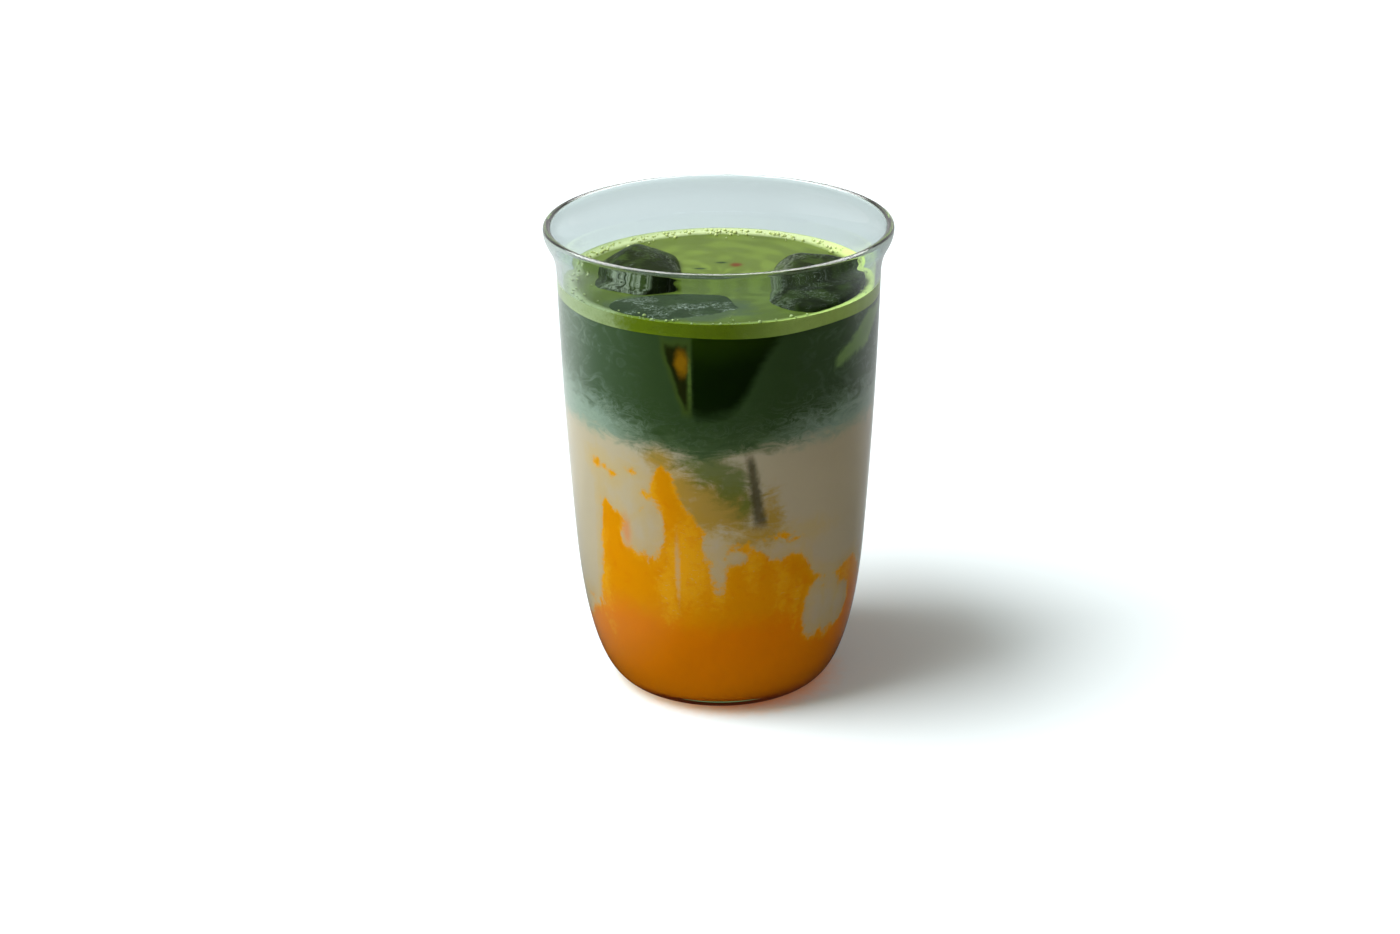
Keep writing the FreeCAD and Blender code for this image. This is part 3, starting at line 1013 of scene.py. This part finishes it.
def ice_block(name, angle, distance, edges, spin, lean, lean_towards, keep, flats,
              room):
    """Points, faces and painted lamp reflection of a melted cube, seen from its centre.

    Along direction d the surface lies at (sum over planes of max(0, n.d / h)^p)^(-1/p):
    a soft crossing of the six faces, the flats, some worn corners, the two planes that
    keep it off its neighbours, and the round room it floats in. Noise then wears it by
    up to some 2 %. The painted reflection of the lamp is a flat's paleness where the
    surface lies on that flat.
    """
    half = np.array(edges) / 2
    turn = turned(lean, lean_towards, spin)
    melt = ICE_MELT * min(edges)
    way = math.radians(angle)
    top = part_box(name)[1][2] / MM
    centre = np.array([distance * math.sin(way), -distance * math.cos(way),
                       top - (np.abs(turn[2]) * (half - melt)).sum() - melt])
    rng = np.random.default_rng(int(distance * 10))
    wear = rng.normal(size=(6, 3)) * (1, 1, 0.4 if flats else 0.0)
    wear /= np.linalg.norm(wear, axis=1, keepdims=True)
    worn = np.abs(wear @ turn) @ half * rng.uniform(0.88, 0.98, 6)
    melted = [slanted(facing, slope) for facing, slope, _, _ in flats]
    kept = [side * np.array([math.cos(math.radians(limit)),
                             math.sin(math.radians(limit)), 0])
            for side, limit in zip((-1, 1), keep)]
    normals = np.array([*turn.T, *-turn.T, *wear, *melted, *kept])
    depths = np.array([*half, *half, *worn, *(depth for _, _, depth, _ in flats),
                       *(-normal @ centre - ICE_GAP / 2 for normal in kept)])
    d = ball(ICE_TURNS, ICE_ROWS)
    reach = (np.maximum(0, d @ normals.T / depths) ** SHARP).sum(axis=1)
    flat = np.hypot(d[:, 0], d[:, 1]) + 1e-9
    along = (d[:, :2] @ centre[:2]) / flat
    wall = -along + np.sqrt(along**2 + room**2 - centre[:2] @ centre[:2])
    reach += (flat / wall) ** SHARP
    reach = reach ** (-1 / SHARP)
    p = d * reach[:, None]
    uneven = 0.012 * ripple(p, 9.0, 11) + 0.005 * ripple(p, 3.0, 12)
    reach *= 1 + np.minimum(0, uneven - 0.004)
    p = d * reach[:, None]
    # painted reflection of the lamp, as pale as each flat is set, where the surface lies on
    # it
    frost = np.zeros(len(p))
    for normal, (_, _, depth, pale) in zip(melted, flats):
        frost = np.maximum(frost, pale * smooth_step(-1.1, -0.35, p @ normal - depth))
    faces = sum((group.tolist() for group in grid_faces(ICE_TURNS, ICE_ROWS)), [])
    return centre + p, faces, frost


class LATTE_OT_ice(bpy.types.Operator):
    """Float the melting ice"""

    bl_idname = "latte.ice"
    bl_label = "Ice"

    def execute(self, context):
        size, drink, colours, _ = settings()
        level = GLASS_HEIGHT / MM - drink.level_depth
        room = float(wall_radius(size, level)) - size.wall - ICE_WALL_GAP
        for name, *shape, wet in ICE:
            # each block also gives its painted reflection of the lamp
            points, faces, frost = ice_block(name, *shape, room)
            piece = make_mesh(name + "_melting", points, faces, frost=frost)
            stand_for(piece, ice_material(name + "_wet", colours, wet), "ice", name)
        return {"FINISHED"}


BUBBLE_TURNS = 10
BUBBLE_ROWS = 6


class LATTE_OT_bubbles(bpy.types.Operator):
    """Set small bubbles on the foam"""

    bl_idname = "latte.bubbles"
    bl_label = "Bubbles"

    def execute(self, context):
        size, drink, _, _ = settings()
        level = GLASS_HEIGHT / MM - drink.level_depth
        edge = float(drink_radius(size, drink.wetting)(level))
        # nearly half stand round the back, more small than large, most of them close
        # to the wall, each half sunk in the foam
        rng = np.random.default_rng(21)
        count = drink.bubbles
        turn = rng.uniform(0, 2 * np.pi, count)
        back = rng.uniform(size=count) < 0.45
        turn = np.where(back, np.pi + rng.normal(0, 0.8, count), turn)
        r = 0.16 + 0.42 * rng.uniform(size=count) ** 2.5
        out = edge - drink.wetting - 0.45 - r - rng.exponential(1.2, count)
        centre = np.stack([out * np.sin(turn), -out * np.cos(turn),
                           level + 0.15 + 0.35 * np.exp(-(edge - out) / 2)], axis=1)
        one = ball(BUBBLE_TURNS, BUBBLE_ROWS)
        points = (centre[:, None] + r[:, None, None] * one).reshape(-1, 3)
        shift = (np.arange(count) * len(one))[:, None, None]
        faces = []
        for group in grid_faces(BUBBLE_TURNS, BUBBLE_ROWS):
            faces += (group[None] + shift).reshape(-1, group.shape[1]).tolist()
        piece = make_mesh("foam_bubbles", points, faces)
        piece.data.materials.append(bubble_material())
        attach(piece, "root")
        return {"FINISHED"}


# --- stage -------------------------------------------------------------------
def floor_material():
    """Pale matt floor that meets the white behind it.

    The eye sees it brighten away from the glass. Close to the foot it is painted with
    the orange light that comes through the puree, in its colour and in a faint glow.
    It throws more light on matt surfaces from the left than from the right. Mirrored
    in the glass it is white behind, faint on the left of the foot and nearly dark
    elsewhere.
    """
    material, g = new_material("studio_floor", (0.9, 0.9, 0.9))
    where = g.node("ShaderNodeTexCoord", out=3)
    x, y = (g.node("ShaderNodeSeparateXYZ", None, {0: where}, out=i) for i in (0, 1))
    far = (x * x + y * y) ** 0.5
    grain = g.noise(3.0, 3)
    near = 1 - (far + grain * 0.004 - (x - y) * 0.08).step(0.022, 0.034)
    eye, through, mirror, soft = g.path()
    plain = g.mix(soft, (0.63, 0.69, 0.71), (0.97, 0.92, 0.84))
    # painted light: the orange that light through the puree throws beside the foot, here in
    # the colour and below in the glow
    colour = g.mix(near * 0.75, plain, (0.85, 0.36, 0.10))
    matt = g.node("ShaderNodeBsdfDiffuse", None, {"Color": colour})
    lift = far.step(0.040, 0.13) * 0.20 + far.step(0.13, 0.8) * 0.75 + 0.075
    bounce = soft * (1.3 - x.step(0.0, 0.06) * 0.6)
    seen = g.most(eye, g.most(bounce, through * (1 - soft) * 0.3))
    air = g.mix(soft, (0.88, 1.0, 1.02), (1.0, 0.94, 0.84))
    glow = g.node("ShaderNodeEmission", None, {
        "Color": g.mix(near, air, (1.0, 0.36, 0.08)),
        "Strength": (lift + near * 0.05) * seen})
    both = g.node("ShaderNodeAddShader", None, {0: matt, 1: glow})
    beside = x.step(-0.06, -0.022) * -0.22 + 0.22
    white = g.most(y.step(-0.02, 0.16) * (1 - x.step(0.0, 0.12) * 0.45),
                   beside * (1 - far.step(0.06, 0.09)))
    mirrored = g.node("ShaderNodeEmission", None, {
        "Color": (0.95, 1.0, 1.0, 1),
        "Strength": white * far.step(0.026, 0.045) * 0.9 + 0.015})
    only = mirror * (1 - soft)
    g.finish(g.node("ShaderNodeMixShader", None, {0: only, 1: both, 2: mirrored}))
    return material


def room_world():
    """White for the eye, dim and warm for matt surfaces.

    Mirrored rays see it white behind and to the left and darker upwards, with a soft
    patch where the lamp hangs and, high at the back, a band nine times as bright as
    white, as a strip lamp would be. Rays bent by the glass see it white behind and dark
    in front.
    """
    world = bpy.data.worlds.new("room")
    g = Graph(world)
    eye, through, mirror, soft = g.path()
    way = g.node("ShaderNodeTexCoord", out=0)
    x, y, z = (g.node("ShaderNodeSeparateXYZ", None, {0: way}, out=i) for i in range(3))
    white = (y - x * 0.7).step(-0.35, 0.45)
    low = 1 - z.step(0.30, 0.62) * 0.8
    stage = settings()[3]
    lamp = (x * (math.sin(stage.key_turn) * math.cos(stage.key_height))
            - y * (math.cos(stage.key_turn) * math.cos(stage.key_height))
            + z * math.sin(stage.key_height))
    band = z.step(0.50, 0.62) * (1 - z.step(0.965, 0.99)) * y.step(-0.05, 0.25)
    mirrored = white * low * 0.95 + lamp.step(0.86, 0.99) * 0.7 + band * 9 + 0.03
    bent = y.step(-0.85, -0.10) * 0.97 + 0.03
    sharp = through * bent * (1 - mirror) + mirror * mirrored
    seen = g.most(eye, sharp * (1 - soft))
    dim = g.node("ShaderNodeBackground", None, {
        "Color": (1.0, 0.88, 0.77, 1), "Strength": stage.fill})
    bright = g.node("ShaderNodeBackground", None, {
        "Color": (1, 1, 1, 1), "Strength": g.most(1.0, seen)})
    room = g.node("ShaderNodeMixShader", None, {0: g.least(1.0, seen), 1: dim, 2: bright})
    g.finish(room, "ShaderNodeOutputWorld")
    return world


# How far the floor reaches to each side, forwards and back, in mm, and the height in
# metres that the lamp is aimed at.
FLOOR_SIDE = 1200.0
FLOOR_FRONT = 420.0
FLOOR_BACK = 2600.0
LAMP_AIM = 0.06


class LATTE_OT_stage(bpy.types.Operator):
    """Set the floor, the lamp, the room and the camera"""

    bl_idname = "latte.stage"
    bl_label = "Stage"

    def execute(self, context):
        scene = context.scene
        stage = settings()[3]
        corners = np.array([(-FLOOR_SIDE, -FLOOR_FRONT, 0.0), (FLOOR_SIDE, -FLOOR_FRONT, 0.0),
                            (FLOOR_SIDE, FLOOR_BACK, 0.0), (-FLOOR_SIDE, FLOOR_BACK, 0.0)])
        floor = make_mesh("floor", corners, [(0, 1, 2, 3)], smooth=False)
        floor.data.materials.append(floor_material())
        scene.world = room_world()

        lamp = bpy.data.lights.new("key", "AREA")
        lamp.shape, lamp.size = "SQUARE", stage.key_size
        lamp.energy = stage.key_power
        key = bpy.data.objects.new("key", lamp)
        scene.collection.objects.link(key)
        flat = stage.key_distance * math.cos(stage.key_height)
        key.location = (flat * math.sin(stage.key_turn), -flat * math.cos(stage.key_turn),
                        stage.key_distance * math.sin(stage.key_height) + LAMP_AIM)
        key.rotation_euler = (math.pi / 2 - stage.key_height, 0, stage.key_turn)
        key.visible_glossy = key.visible_transmission = False

        camera = bpy.data.cameras.new("camera")
        camera.sensor_width, camera.lens = 36, stage.lens
        eye = bpy.data.objects.new("camera", camera)
        scene.collection.objects.link(eye)
        eye.location = stage.eye
        turn = Matrix.Rotation(stage.pitch, 3, "X") @ Matrix.Rotation(stage.roll, 3, "Z")
        eye.rotation_euler = turn.to_euler("XYZ")
        scene.camera = eye
        scene.view_settings.view_transform = "Standard"
        return {"FINISHED"}


class LATTE_PT_panel(bpy.types.Panel):
    """Settings and steps of the drink"""

    bl_label = "Iced matcha latte"
    bl_idname = "LATTE_PT_panel"
    bl_space_type = "VIEW_3D"
    bl_region_type = "UI"
    bl_category = "Latte"

    def draw(self, context):
        for group in settings():
            box = self.layout.box()
            for name in group.__annotations__:
                box.prop(group, name)
        for step in STEPS:
            self.layout.operator(step.bl_idname)


STEPS = (LATTE_OT_glass, LATTE_OT_layers, LATTE_OT_foam, LATTE_OT_ice,
         LATTE_OT_bubbles, LATTE_OT_stage)
GROUPS = {"latte_glass": GlassSizes, "latte_drink": DrinkSizes,
          "latte_colours": DrinkColours, "latte_stage": StageSettings}


def register():
    for group in GROUPS.values():
        bpy.utils.register_class(group)
    for step in STEPS:
        bpy.utils.register_class(step)
    bpy.utils.register_class(LATTE_PT_panel)
    for name, group in GROUPS.items():
        setattr(bpy.types.Scene, name, bpy.props.PointerProperty(type=group))


def unregister():
    for name in GROUPS:
        delattr(bpy.types.Scene, name)
    bpy.utils.unregister_class(LATTE_PT_panel)
    for step in reversed(STEPS):
        bpy.utils.unregister_class(step)
    for group in reversed(GROUPS.values()):
        bpy.utils.unregister_class(group)


def main():
    register()
    bpy.ops.latte.glass()
    bpy.ops.latte.layers()
    bpy.ops.latte.foam()
    bpy.ops.latte.ice()
    bpy.ops.latte.bubbles()
    bpy.ops.latte.stage()


if __name__ == "__main__":
    main()
